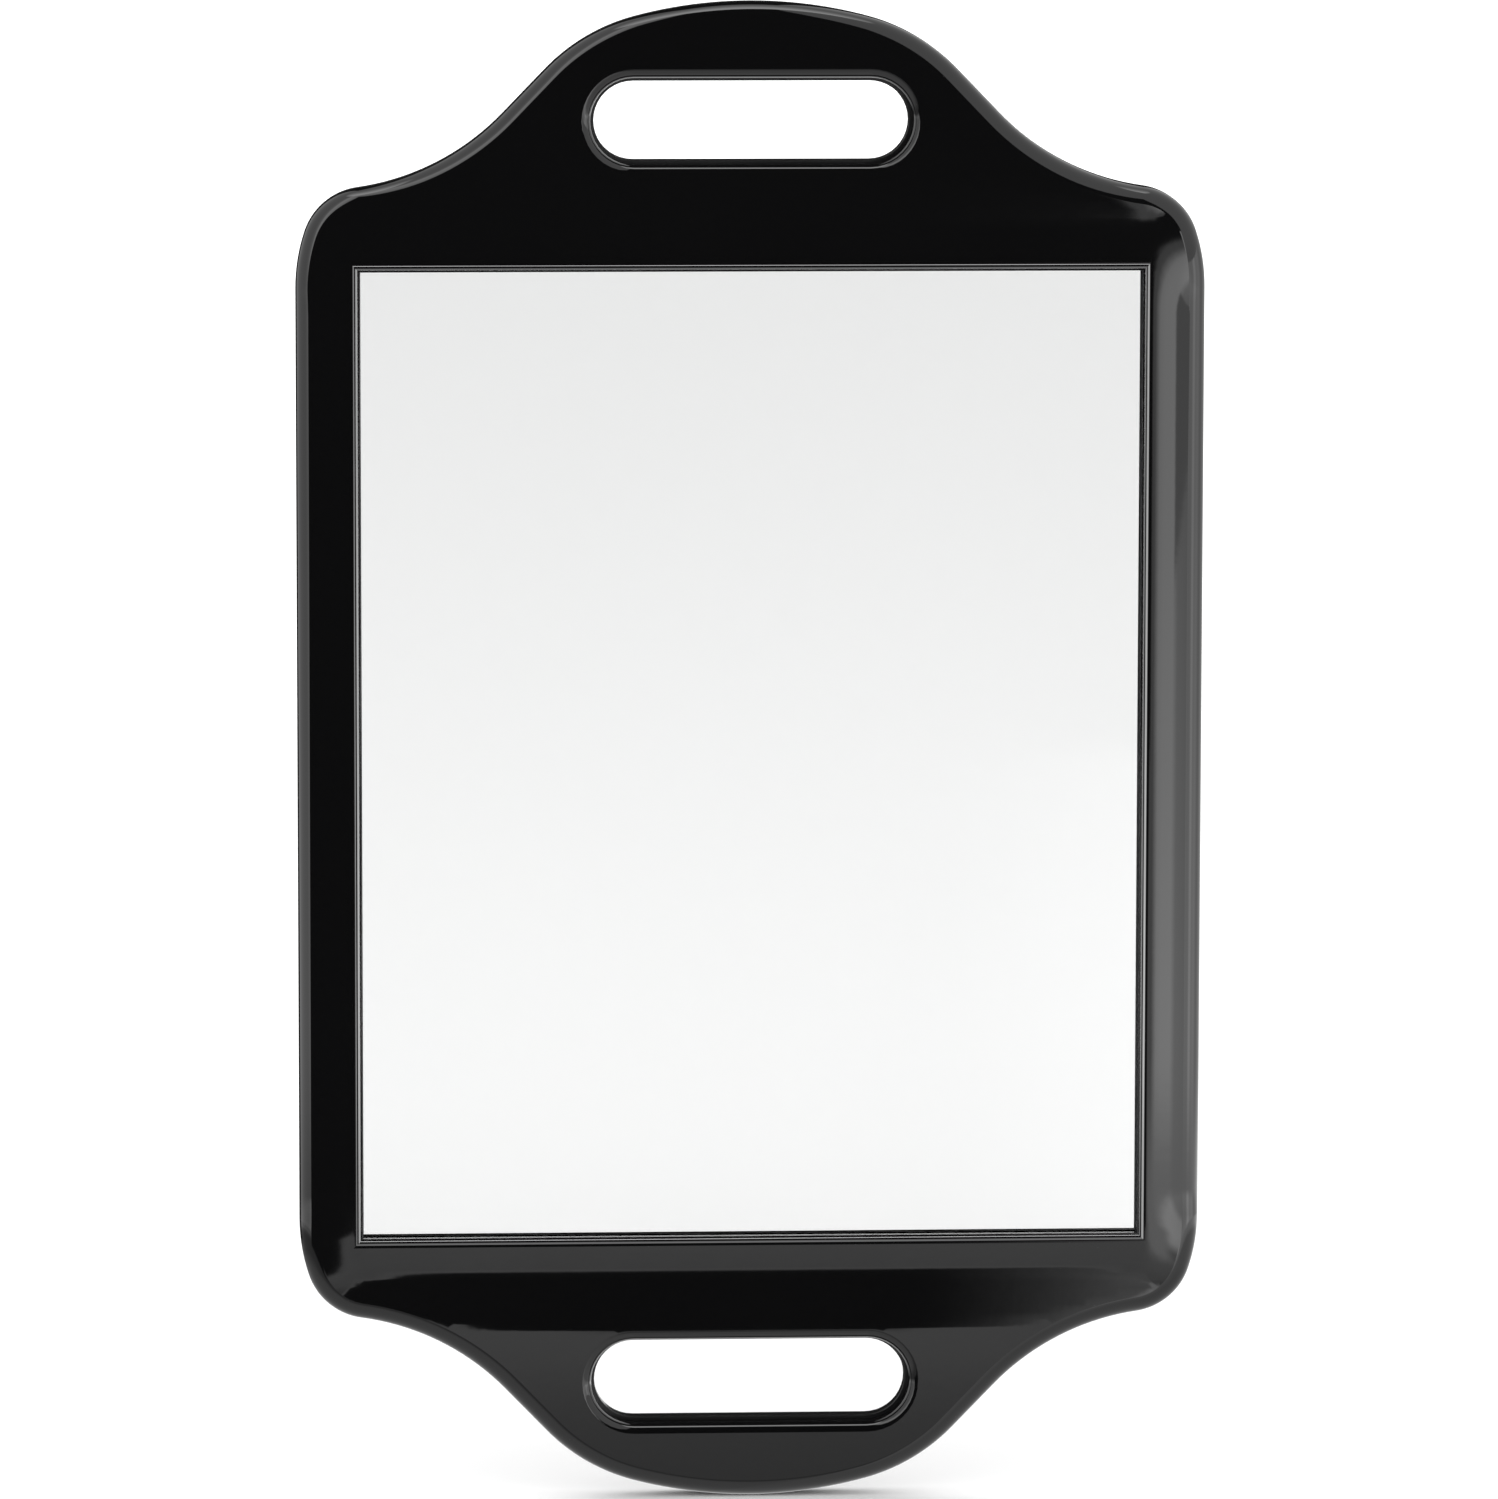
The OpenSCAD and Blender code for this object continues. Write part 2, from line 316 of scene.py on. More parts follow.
# ---------------------------------------------------------------- mesh building
class Shell:
    """The points and faces of one closed piece. way is -1 for the front shell and 1 for the rear."""

    def __init__(self, way):
        self.way = way
        self.points, self.faces, self.normals, self.slots = [], [], [], []

    def add(self, plan, heights):
        """Adds points given in X and Z about the case's middle, at heights off the parting plane."""
        first = len(self.points)
        heights = np.broadcast_to(heights, (len(plan),))
        self.points += [(x, self.way * h, z + MID_Z) for (x, z), h in zip(plan, heights)]
        return list(range(first, first + len(plan)))

    def face(self, corners, normals=None, slot=0):
        """Adds a face, anticlockwise seen from outside the front shell. Without normals it is flat."""
        if self.way > 0:
            corners = corners[::-1]
            normals = normals[::-1] if normals is not None else None
        if normals is not None:
            normals = [(n[0], self.way * n[1], n[2]) for n in normals]
        self.faces.append(tuple(int(c) for c in corners))
        self.normals.append(normals)
        self.slots.append(slot)

    def band(self, near, far, normals=None, slot=0):
        """Joins two rings of one length with quads. normals gives the four normals of the quad i, j."""
        n = len(near)
        for i in range(n):
            j = (i + 1) % n
            self.face([near[i], near[j], far[j], far[i]], normals(i, j) if normals else None, slot)

    def build(self, name, materials):
        mesh = bpy.data.meshes.new(name)
        mesh.from_pydata(self.points, [], self.faces)
        for material in materials:
            mesh.materials.append(material)
        mesh.polygons.foreach_set("material_index", self.slots)
        mesh.polygons.foreach_set("use_smooth", [True] * len(self.faces))
        mesh.update()
        split = []
        for polygon, normals in zip(mesh.polygons, self.normals):
            flat = tuple(polygon.normal)
            split += [flat] * len(polygon.vertices) if normals is None else [tuple(n) for n in normals]
        mesh.normals_split_custom_set(split)
        piece = bpy.data.objects.new(name, mesh)
        bpy.context.collection.objects.link(piece)
        return piece


def unit(v):
    v = np.asarray(v, dtype=float)
    return v / np.maximum(np.linalg.norm(v, axis=-1, keepdims=True), 1e-12)


def field_normals(slopes, outs=None, turn=0.0):
    """Normals of a height field, turned towards outs, as X, height and Z."""
    c, s = math.cos(turn), math.sin(turn)
    plan = -slopes * c
    if outs is not None:
        plan = plan + outs * s
    return unit(np.column_stack([plan[:, 0], np.full(len(plan), c), plan[:, 1]]))


def sweep(shell, stations, hole, slot=0):
    """Joins rings from the parting side up to the face.

    Each station is (plan, heights, normals below, normals above).
    """
    last, last_normals = None, None
    rings = []
    for plan, heights, below, above in stations:
        ring = shell.add(plan, heights)
        if last is not None:
            a, b, na, nb = (last, ring, last_normals, below) if hole else (ring, last, below, last_normals)
            normals = None
            if na is not None and nb is not None:
                normals = lambda i, j, na=na, nb=nb: [na[i], na[j], nb[j], nb[i]]
            shell.band(a, b, normals, slot)
        rings.append(ring)
        last, last_normals = ring, above
    return rings


def inside(points, loop):
    """True for each point inside the closed loop."""
    x, z = points[:, 0], points[:, 1]
    found = np.zeros(len(points), dtype=bool)
    for (ax, az), (bx, bz) in zip(loop, np.roll(loop, -1, axis=0)):
        if az != bz:
            crosses = (az > z) != (bz > z)
            found ^= crosses & (x < (bx - ax) * (z - az) / (bz - az) + ax)
    return found


def clear_of(points, loop, gap):
    """True for each point at least gap away from the loop."""
    keep = np.ones(len(points), dtype=bool)
    for a, b in zip(loop, np.roll(loop, -1, axis=0)):
        d = b - a
        t = np.clip(((points - a) @ d) / max(d @ d, 1e-18), 0, 1)
        keep &= np.hypot(*(points - a - t[:, None] * d).T) > gap
    return keep


def triangulated(loops, holes, extra=None):
    """Triangles inside the first loop and outside the holes, with each vertex's place in the input."""
    plan = np.vstack(loops + ([extra] if extra is not None else []))
    edges, first = [], 0
    for loop in loops:
        n = len(loop)
        edges += [(first + i, first + (i + 1) % n) for i in range(n)]
        first += n
    verts, _, faces, origin, _, _ = delaunay_2d_cdt([Vector(p) for p in plan], edges, [], 0, 1e-8)
    flat = np.array([tuple(v) for v in verts])
    tri = np.array([tuple(f) for f in faces])
    a, b, c = flat[tri[:, 0]], flat[tri[:, 1]], flat[tri[:, 2]]
    area = (b[:, 0] - a[:, 0]) * (c[:, 1] - a[:, 1]) - (b[:, 1] - a[:, 1]) * (c[:, 0] - a[:, 0])
    tri[area < 0] = tri[area < 0][:, ::-1]
    mid = flat[tri].mean(axis=1)
    keep = inside(mid, loops[0]) & (np.abs(area) > 1e-13)
    for hole in holes:
        keep &= ~inside(mid, hole)
    return flat, tri[keep], mid[keep], origin


def fill(shell, loops, rings, field, spacing=None, slot=0):
    """Fills a face inside the first loop and outside the others. rings hold the loops' point numbers."""
    known = [i for ring in rings for i in ring]
    grid = None
    if spacing:
        lo, hi = loops[0].min(0), loops[0].max(0)
        rows = np.arange(lo[1] + spacing / 3, hi[1], spacing * math.sqrt(3) / 2)
        grid = np.array([
            (x + spacing / 2 * (k % 2), z)
            for k, z in enumerate(rows)
            for x in np.arange(lo[0], hi[0], spacing)
        ])
        keep = inside(grid, loops[0]) & clear_of(grid, loops[0], spacing * 0.45)
        for loop in loops[1:]:
            keep &= ~inside(grid, loop) & clear_of(grid, loop, spacing * 0.45)
        grid = grid[keep]
        known += shell.add(grid, field(grid)[0])
    flat, tri, _, origin = triangulated(loops, loops[1:], grid)
    normals = field_normals(field(flat)[1])
    for corners in tri:
        shell.face([known[origin[i][0]] for i in corners], [normals[i] for i in corners], slot)


def terraces(shell, borders, rings, steps, depth_at, slot=0):
    """Fills a shell's inner side with flat steps, and with the walls between them."""
    known = [i for ring in rings for i in ring]
    flat, tri, mid, origin = triangulated(borders + steps, borders[1:])
    levels = np.round(depth_at(mid), 7)
    at_vertex, numbers, sides = {}, {}, {}
    for corners, level in zip(tri, levels):
        for i in corners:
            at_vertex.setdefault(int(i), set()).add(float(level))

    def number(i, level):
        if origin[i] and min(origin[i]) < len(known):
            ring_point = known[min(origin[i])]
            if abs(shell.way * shell.points[ring_point][1] - level) < 1e-6:
                return ring_point
        key = (i, level)
        if key not in numbers:
            numbers[key] = shell.add([flat[i]], level)[0]
        return numbers[key]

    for corners, level in zip(tri, levels):
        a, b, c = (int(i) for i in corners)
        level = float(level)
        shell.face([number(a, level), number(c, level), number(b, level)], None, slot)
        for i, j in ((a, b), (b, c), (c, a)):
            sides[(i, j)] = level
    for (a, b), low in sides.items():
        high = sides.get((b, a))
        if high is None or high <= low:
            continue
        up = [number(b, level) for level in sorted(at_vertex[b]) if low < level < high]
        down = [number(a, level) for level in sorted(at_vertex[a], reverse=True) if low < level < high]
        wall = [number(a, low), number(b, low)] + up + [number(b, high), number(a, high)] + down
        shell.face(wall, None, slot)


def stadium(grow, steps=20, straight=24):
    """Points and outward directions of a finger slot's edge about its centre, grown by grow, clockwise."""
    half, r = (SLOT_W - SLOT_H) / 2, SLOT_H / 2 + grow
    points, outs = [], []
    for side in (1, -1):
        for k in range(steps):
            a = math.pi * k / steps
            out = np.array([math.sin(a), math.cos(a)]) * side
            points.append(np.array([side * half, 0.0]) + out * r)
            outs.append(out)
        for k in range(straight):
            out = np.array([0.0, -1.0 * side])
            points.append(np.array([side * half * (1 - 2 * k / straight), 0.0]) + out * r)
            outs.append(out)
    return np.array(points), np.array(outs)


def circle(centre, r, steps=28):
    a = 2 * math.pi * np.arange(steps) / steps
    outs = np.column_stack([np.sin(a), np.cos(a)])
    return np.array(centre) + outs * r, outs


def rect(w, h, across=1, up=1, centre=(0.0, 0.0)):
    """A rectangle's edge points, clockwise from the top left."""
    corners = [(-w / 2, h / 2), (w / 2, h / 2), (w / 2, -h / 2), (-w / 2, -h / 2)]
    points = []
    for side in range(4):
        a, b = np.array(corners[side]), np.array(corners[(side + 1) % 4])
        n = across if side % 2 == 0 else up
        points += [a + (b - a) * k / n for k in range(n)]
    return np.array(points) + np.array(centre)


def rounded_rect(w, h, r, steps=8):
    """Points and outward directions of a round-cornered rectangle, clockwise."""
    points, outs = [], []
    for corner in range(4):
        sx, sz = ((1, 1), (1, -1), (-1, -1), (-1, 1))[corner]
        for k in range(steps + 1):
            a = math.radians(90 * corner + 90 * k / steps)
            out = np.array([math.sin(a), math.cos(a)])
            points.append(np.array([sx * (w / 2 - r), sz * (h / 2 - r)]) + out * r)
            outs.append(out)
    return np.array(points), np.array(outs)


SIDE_OUTS = ((0.0, 1.0), (1.0, 0.0), (0.0, -1.0), (-1.0, 0.0))
ROUND_STEPS = 10


def level_normals(outs, out, up):
    """Normals that lean out along outs, and up."""
    return unit(np.column_stack([outs[:, 0] * out, np.full(len(outs), up), outs[:, 1] * out]))


def rounding(plan_at, outs, base, field, radius, sign):
    """Stations of a rounded edge that ends on the field.

    plan_at gives the plan at a distance from the wall.
    """
    top_plan = plan_at(radius)
    heights, slopes = field(top_plan)
    stations = []
    for k in range(ROUND_STEPS + 1):
        turn = math.pi / 2 * (1 - k / ROUND_STEPS)
        normals = field_normals(slopes, outs * sign, turn)
        plan = plan_at(radius * (1 - math.sin(turn)))
        stations.append((plan, heights - radius * (1 - math.cos(turn)), normals, normals))
    return [(plan_at(0.0), base, None, stations[0][2])] + stations


def outer_edge(shell, field, radius):
    """The case's outer wall with its chamfer at the parting line and its rounded edge."""
    foot = (outline_at(PARTING_CHAMFER), 0.0, None, None)
    edge = rounding(outline_at, OUTLINE_OUT, PARTING_CHAMFER, field, radius, 1)
    rings = sweep(shell, [foot] + edge, hole=False)
    return outline_at(radius), rings[-1], foot[0], rings[0]


def slot_edge(shell, field, centre_z, grow, radius, foot_r):
    """A finger slot's wall, rounded at the parting side and at the face."""
    centre = np.array([0.0, centre_z])
    _, outs = stadium(grow)

    def plan_at(d):
        return stadium(grow + d)[0] + centre

    stations = []
    for k in range(4):
        turn = math.pi / 2 * k / 3
        normals = level_normals(outs, -math.sin(turn), -math.cos(turn))
        height = foot_r * (1 - math.cos(turn))
        stations.append((plan_at(foot_r * (1 - math.sin(turn))), height, normals, normals))
    rings = sweep(shell, stations + rounding(plan_at, outs, foot_r, field, radius, -1)[1:], hole=True)
    return plan_at(radius), rings[-1], stations[0][0], rings[0]


# ---------------------------------------------------------------- front shell
HANDLE_SCREWS = [
    (x, z) for x in (-HANDLE_SCREW_X, HANDLE_SCREW_X) for z in (-HANDLE_SCREW_Z, HANDLE_SCREW_Z)
]
RAIL_SCREWS = [(x, z) for x in (-RAIL_SCREW_X, RAIL_SCREW_X) for z in RAIL_SCREW_Z]
SCREWS = HANDLE_SCREWS + RAIL_SCREWS
FENCE_IN = (GLASS_W + 2 * FENCE_GAP, GLASS_H + 2 * FENCE_GAP)
FENCE_OUT = (FENCE_IN[0] + 2 * FENCE_T, FENCE_IN[1] + 2 * FENCE_T)
RIB_SPANS = []
for rib_x in RIB_X:
    fence_mid = FENCE_OUT[1] / 2 - FENCE_T / 2
    collar_mid = SLOT_H / 2 + SLOT_STEP + COLLAR_T / 2
    edge = BODY_H / 2 - CAP[0] + math.sqrt(CAP[0] ** 2 - (abs(rib_x) + RIB_T / 2) ** 2)
    RIB_SPANS += [
        (rib_x, fence_mid, SLOT_Z - collar_mid),
        (rib_x, SLOT_Z + collar_mid, edge - SIDE_WALL / 2),
    ]
RIBS = [
    (RIB_T, top - foot, (x, side * (top + foot) / 2)) for x, foot, top in RIB_SPANS for side in (-1, 1)
]


def in_box(points, w, h, centre=(0.0, 0.0)):
    return (np.abs(points[:, 0] - centre[0]) < w / 2) & (np.abs(points[:, 1] - centre[1]) < h / 2)


def near_any(points, centres, r):
    found = np.zeros(len(points), dtype=bool)
    for x, z in centres:
        found |= np.hypot(points[:, 0] - x, points[:, 1] - z) < r
    return found


def in_stadium(points, grow):
    along = np.maximum(np.abs(points[:, 0]) - (SLOT_W - SLOT_H) / 2, 0.0)
    return np.hypot(along, np.abs(points[:, 1]) - SLOT_Z) < SLOT_H / 2 + grow


def front_chamber(points):
    """Depth of the front shell's inner side at each point."""
    inset, _ = inset_of(points)
    depth = np.where(inset > SIDE_WALL, CHAMBER_D, 0.0)
    fence = in_box(points, *FENCE_OUT) & ~in_box(points, *FENCE_IN)
    depth = np.where(fence, np.minimum(depth, FENCE_END), depth)
    for w, h, centre in RIBS:
        depth = np.where(in_box(points, w, h, centre), np.minimum(depth, RIB_END), depth)
    depth[in_stadium(points, SLOT_STEP + COLLAR_T)] = 0.0
    depth[near_any(points, SCREWS, BOSS_R)] = 0.0
    depth[near_any(points, SCREWS, PILOT_R)] = PILOT_D
    return depth


# The window's edge, going out from the opening: a narrow ledge, the half-round bead, a shallow valley
OPENING_W = WINDOW_W + 0.9 * MM
OPENING_H = WINDOW_H + 0.2 * MM
SILL_DROP = 0.15 * MM
SILL_R = 0.12 * MM
SILL_W = 0.42 * MM
BEAD_W = 1.4 * MM
BEAD_STEPS = 14
VALLEY_D = 0.03 * MM
VALLEY_W = 0.7 * MM
VALLEY_TILT = math.radians(2.2)
WINDOW_ACROSS = 80
WINDOW_UP = 100


def window_profile():
    """The edge's stretches, going out: each a material slot and its points.

    A point is (distance, height, (out, up)).
    """
    sill, foot = FRONT_D - SILL_DROP, FRONT_D - VALLEY_D
    wall = [(0.0, LIP_D, (-1.0, 0.0))]
    for k in range(4):
        a = math.pi / 2 * k / 3
        height = sill - SILL_R * (1 - math.sin(a))
        wall.append((SILL_R * (1 - math.cos(a)), height, (-math.cos(a), math.sin(a))))
    wall.append((SILL_W, sill, (0.0, 1.0)))
    bead = []
    for k in range(BEAD_STEPS + 1):
        a = math.pi * k / BEAD_STEPS
        low = sill if k < BEAD_STEPS / 2 else foot
        rise = FRONT_D + BEAD_H - low
        lean = unit([-math.cos(a) / (BEAD_W / 2), math.sin(a) / rise])
        bead.append((SILL_W + BEAD_W / 2 * (1 - math.cos(a)), low + rise * math.sin(a), tuple(lean)))
    return [(0, wall), (2, bead)]


def side_normals(lean):
    """The four sides' normals for a normal that leans by lean = (out, up)."""
    return [(out[0] * lean[0], lean[1], out[1] * lean[0]) for out in SIDE_OUTS]


def opening_ring(d):
    return rect(OPENING_W + 2 * d, OPENING_H + 2 * d, WINDOW_ACROSS, WINDOW_UP)


def window_edge(shell):
    """The opening for the mirror, with its mitred bead."""
    sides = np.repeat(range(4), [WINDOW_ACROSS, WINDOW_UP, WINDOW_ACROSS, WINDOW_UP])
    first, ring = None, None
    for slot, points in window_profile():
        for k, (d, height, lean) in enumerate(points):
            here = side_normals(lean)
            if first is None:
                first = ring = shell.add(opening_ring(d), height)
            elif k:
                wider = shell.add(opening_ring(d), height)
                shell.band(
                    ring, wider, lambda i, j, a=before, b=here: [a[sides[i]]] * 2 + [b[sides[i]]] * 2, slot
                )
                ring = wider
            before = here
    plan = opening_ring(SILL_W + BEAD_W + VALLEY_W)
    heights, slopes = front_height(plan)
    last = shell.add(plan, heights)
    low, rim = side_normals((-math.sin(VALLEY_TILT), math.cos(VALLEY_TILT))), field_normals(slopes)
    shell.band(ring, last, lambda i, j: [low[sides[i]], low[sides[i]], rim[j], rim[i]])
    return (plan, last), (opening_ring(0.0), first)


def make_front(materials):
    shell = Shell(-1)
    face_plan, face_ring, part_plan, part_ring = outer_edge(shell, front_height, FRONT_EDGE_R)
    loops, rings = [face_plan], [face_ring]
    borders, border_rings = [part_plan], [part_ring]
    for side in (-1, 1):
        top_plan, top, low_plan, low = slot_edge(
            shell, front_height, side * SLOT_Z, SLOT_STEP, SLOT_RIM_R, PARTING_CHAMFER
        )
        loops.append(top_plan)
        rings.append(top)
        borders.append(low_plan)
        border_rings.append(low)
    (bead_plan, bead_ring), (lip_plan, lip_ring) = window_edge(shell)
    fill(shell, loops + [bead_plan], rings + [bead_ring], front_height, FACE_GRID)
    steps = [outline_at(SIDE_WALL), rect(*FENCE_OUT), rect(*FENCE_IN)]
    steps += [rect(w, h, 1, 1, centre) for w, h, centre in RIBS]
    steps += [stadium(SLOT_STEP + COLLAR_T)[0] + np.array([0.0, side * SLOT_Z]) for side in (-1, 1)]
    steps += [circle(c, r)[0] for c in SCREWS for r in (BOSS_R, PILOT_R)]
    terraces(shell, borders + [lip_plan], border_rings + [lip_ring], steps, front_chamber, 1)
    return shell.build("front_shell", materials)


# ---------------------------------------------------------------- rear shell
def rear_chamber(points):
    """Depth of the rear shell's inner side at each point."""
    inset, _ = inset_of(points)
    depth = np.where(inset > TONGUE_TO, PANEL_D, np.where(inset > TONGUE_FROM, -TONGUE_D, 0.0))
    for z in COVER_RIB_Z:
        rib = in_box(points, COVER_RIB_W, RIB_T, (0.0, z))
        depth = np.where(rib, np.minimum(depth, COVER_RIB_D), depth)
    for x in LAND_X:
        land = in_box(points, LAND_W, LAND_H, (x, 0.0))
        depth = np.where(land, np.minimum(depth, LAND_D), depth)
    depth[in_stadium(points, COLLAR_T)] = 0.0
    depth[near_any(points, SCREWS, COVER_BOSS_R)] = 0.0
    return depth


def make_rear(materials):
    shell = Shell(1)
    face_plan, face_ring, part_plan, part_ring = outer_edge(shell, rear_height, REAR_EDGE_R)
    loops, rings = [face_plan], [face_ring]
    borders, border_rings = [part_plan], [part_ring]
    for side in (-1, 1):
        top_plan, top, low_plan, low = slot_edge(
            shell, rear_height, side * SLOT_Z, 0.0, REAR_SLOT_R, LEDGE_R
        )
        loops.append(top_plan)
        rings.append(top)
        borders.append(low_plan)
        border_rings.append(low)
    for centre in SCREWS:
        clear, outs = circle(centre, CLEAR_R)
        pocket, _ = circle(centre, POCKET_R)
        wall = level_normals(outs, -1.0, 0.0)
        up = level_normals(outs, 0.0, 1.0)
        rim = POCKET_R + POCKET_CHAMFER
        stations = [
            (clear, 0.0, None, wall),
            (clear, SEAT_D, wall, up),
            (pocket, SEAT_D, up, wall),
            (pocket, REAR_D - POCKET_CHAMFER, wall, None),
            (circle(centre, rim)[0], REAR_D, None, None),
        ]
        pocket_rings = sweep(shell, stations, hole=True)
        loops.append(stations[-1][0])
        rings.append(pocket_rings[-1])
        borders.append(clear)
        border_rings.append(pocket_rings[0])
    floor_plan, outs = rounded_rect(RECESS_W, RECESS_H, RECESS_R)
    edge_r = RECESS_T / 2
    wall = level_normals(outs, -1.0, 0.0)
    up = level_normals(outs, 0.0, 1.0)
    stations = [(floor_plan, REAR_D - RECESS_T, wall, wall), (floor_plan, REAR_D - edge_r, wall, wall)]
    for k in range(1, 4):
        a = math.pi / 2 * k / 3
        plan = rounded_rect(
            RECESS_W + 2 * edge_r * (1 - math.cos(a)),
            RECESS_H + 2 * edge_r * (1 - math.cos(a)),
            RECESS_R + edge_r * (1 - math.cos(a)),
        )[0]
        lean = level_normals(outs, -math.cos(a), math.sin(a))
        stations.append((plan, REAR_D - edge_r * (1 - math.sin(a)), lean, lean))
    recess_rings = sweep(shell, stations, hole=True)
    fill(shell, loops + [stations[-1][0]], rings + [recess_rings[-1]], rear_height)
    fill(shell, [floor_plan], [recess_rings[0]], recess_height, None, 1)
    steps = [outline_at(TONGUE_FROM), outline_at(TONGUE_TO)]
    steps += [rect(LAND_W, LAND_H, 1, 1, (x, 0.0)) for x in LAND_X]
    steps += [rect(COVER_RIB_W, RIB_T, 1, 1, (0.0, z)) for z in COVER_RIB_Z]
    steps += [stadium(COLLAR_T)[0] + np.array([0.0, side * SLOT_Z]) for side in (-1, 1)]
    steps += [circle(c, COVER_BOSS_R)[0] for c in SCREWS]
    terraces(shell, borders, border_rings, steps, rear_chamber, 2)
    return shell.build("rear_shell", materials)


# ---------------------------------------------------------------- mirror
def slab(name, low, high, bevel, material):
    """A flat plate with bevelled edges."""
    mesh = bpy.data.meshes.new(name)
    bm = bmesh.new()
    bmesh.ops.create_cube(bm, size=1.0)
    size = high - low
    for vert in bm.verts:
        vert.co = Vector([low[k] + (vert.co[k] + 0.5) * size[k] for k in range(3)])
    bmesh.ops.bevel(bm, geom=list(bm.edges), offset=bevel, segments=2, profile=0.6, affect="EDGES")
    limit = max(size) * min(size) / 2
    for face in bm.faces:
        face.smooth = face.calc_area() < limit
    bm.to_mesh(mesh)
    bm.free()
    mesh.materials.append(material)
    piece = bpy.data.objects.new(name, mesh)
    bpy.context.collection.objects.link(piece)
    return piece


# ---------------------------------------------------------------- materials
class Graph:
    """Short forms for building node trees."""

    def __init__(self, tree):
        self.nodes, self.links = tree.nodes, tree.links

    def node(self, kind, **settings):
        node = self.nodes.new(kind)
        for key, value in settings.items():
            setattr(node, key, value)
        return node

    def put(self, socket, value):
        if hasattr(value, "is_output"):
            self.links.new(value, socket)
        else:
            socket.default_value = value

    def math(self, operation, a, b=0.0, c=None):
        node = self.node("ShaderNodeMath", operation=operation)
        self.put(node.inputs[0], a)
        self.put(node.inputs[1], b)
        if c is not None:
            self.put(node.inputs[2], c)
        return node.outputs[0]

    def span(self, value, start, end, low=0.0, high=1.0, smooth=True):
        node = self.node("ShaderNodeMapRange", interpolation_type="SMOOTHSTEP" if smooth else "LINEAR")
        for socket, part in zip(node.inputs, (value, start, end, low, high)):
            self.put(socket, part)
        return node.outputs[0]

    def mix(self, share, a, b):
        node = self.node("ShaderNodeMix", data_type="RGBA")
        self.put(node.inputs["Factor"], share)
        self.put(node.inputs[6], a)
        self.put(node.inputs[7], b)
        return node.outputs[2]

    def blend(self, share, a, b):
        node = self.node("ShaderNodeMix", data_type="FLOAT")
        self.put(node.inputs["Factor"], share)
        self.put(node.inputs[2], a)
        self.put(node.inputs[3], b)
        return node.outputs[0]

    def ramp(self, value, stops):
        node = self.node("ShaderNodeValToRGB")
        elements = node.color_ramp.elements
        while len(elements) < len(stops):
            elements.new(0.5)
        for element, (at, level) in zip(elements, stops):
            element.position = at
            element.color = (level, level, level, 1.0)
        self.put(node.inputs[0], value)
        return node.outputs[0]

    def scaled_ramp(self, value, stops):
        levels = [(at, level / RAMP_FULL) for at, level in stops]
        return self.math("MULTIPLY", self.ramp(value, levels), RAMP_FULL)

    def coords(self, stretch=(1.0, 1.0, 1.0)):
        place = self.node("ShaderNodeTexCoord")
        mapping = self.node("ShaderNodeMapping")
        self.links.new(place.outputs["Object"], mapping.inputs["Vector"])
        mapping.inputs["Scale"].default_value = stretch
        return mapping.outputs["Vector"]

    def noise(self, scale, detail=2.0, roughness=0.5, where=None):
        node = self.node("ShaderNodeTexNoise")
        self.put(node.inputs["Vector"], where if where is not None else self.coords())
        node.inputs["Scale"].default_value = scale
        node.inputs["Detail"].default_value = detail
        node.inputs["Roughness"].default_value = roughness
        return node.outputs["Fac"]

    def cells(self, scale):
        node = self.node("ShaderNodeTexVoronoi", feature="F1")
        self.put(node.inputs["Vector"], self.coords())
        node.inputs["Scale"].default_value = scale
        return node.outputs["Distance"]

    def bump(self, height, distance, strength=1.0, below=None):
        node = self.node("ShaderNodeBump")
        self.put(node.inputs["Height"], height)
        node.inputs["Distance"].default_value = distance
        node.inputs["Strength"].default_value = strength
        if below is not None:
            self.links.new(below, node.inputs["Normal"])
        return node.outputs["Normal"]


def material(name):
    made = bpy.data.materials.new(name)
    made.use_nodes = True
    graph = Graph(made.node_tree)
    return made, graph, made.node_tree.nodes["Principled BSDF"]


def plastic(name, shade, gloss, grain, grain_scale, peel, ior=1.5):
    """Black ABS: slight colour and gloss variation, faint handling haze, dust and fine scratches."""
    made, g, shader = material(name)
    patches = g.noise(11.0, 3.0, 0.55)
    fine = g.noise(650.0, 3.0, 0.6)
    tone = g.math("MULTIPLY_ADD", patches, 0.7, g.math("MULTIPLY", fine, 0.3))
    dark = tuple(c * 0.75 for c in shade) + (1.0,)
    light = tuple(c * 1.25 for c in shade) + (1.0,)
    dust = g.span(g.cells(420.0), 0.0, 0.055, 1.0, 0.0)
    scarce = g.span(g.noise(95.0, 1.0), 0.56, 0.66)
    specks = g.math("MULTIPLY", dust, scarce)
    colour = g.mix(tone, dark, light)
    colour = g.mix(g.math("MULTIPLY", specks, 0.12), colour, (0.35, 0.34, 0.32, 1.0))
    g.put(shader.inputs["Base Color"], colour)
    haze = g.span(g.noise(17.0, 4.0, 0.6), 0.45, 0.75)
    scratches = g.span(g.noise(60.0, 5.0, 0.7, g.coords((0.6, 1.0, 26.0))), 0.62, 0.72)
    rough = g.math("MULTIPLY_ADD", haze, gloss * 0.45, gloss)
    rough = g.math("MULTIPLY_ADD", scratches, gloss * 0.35, rough)
    rough = g.math("MULTIPLY_ADD", specks, 0.12, rough)
    g.put(shader.inputs["Roughness"], rough)
    shader.inputs["IOR"].default_value = ior
    normal = g.bump(g.noise(240.0, 2.0), peel)
    if grain:
        normal = g.bump(g.cells(grain_scale), grain, 1.0, normal)
    g.put(shader.inputs["Normal"], normal)
    return made


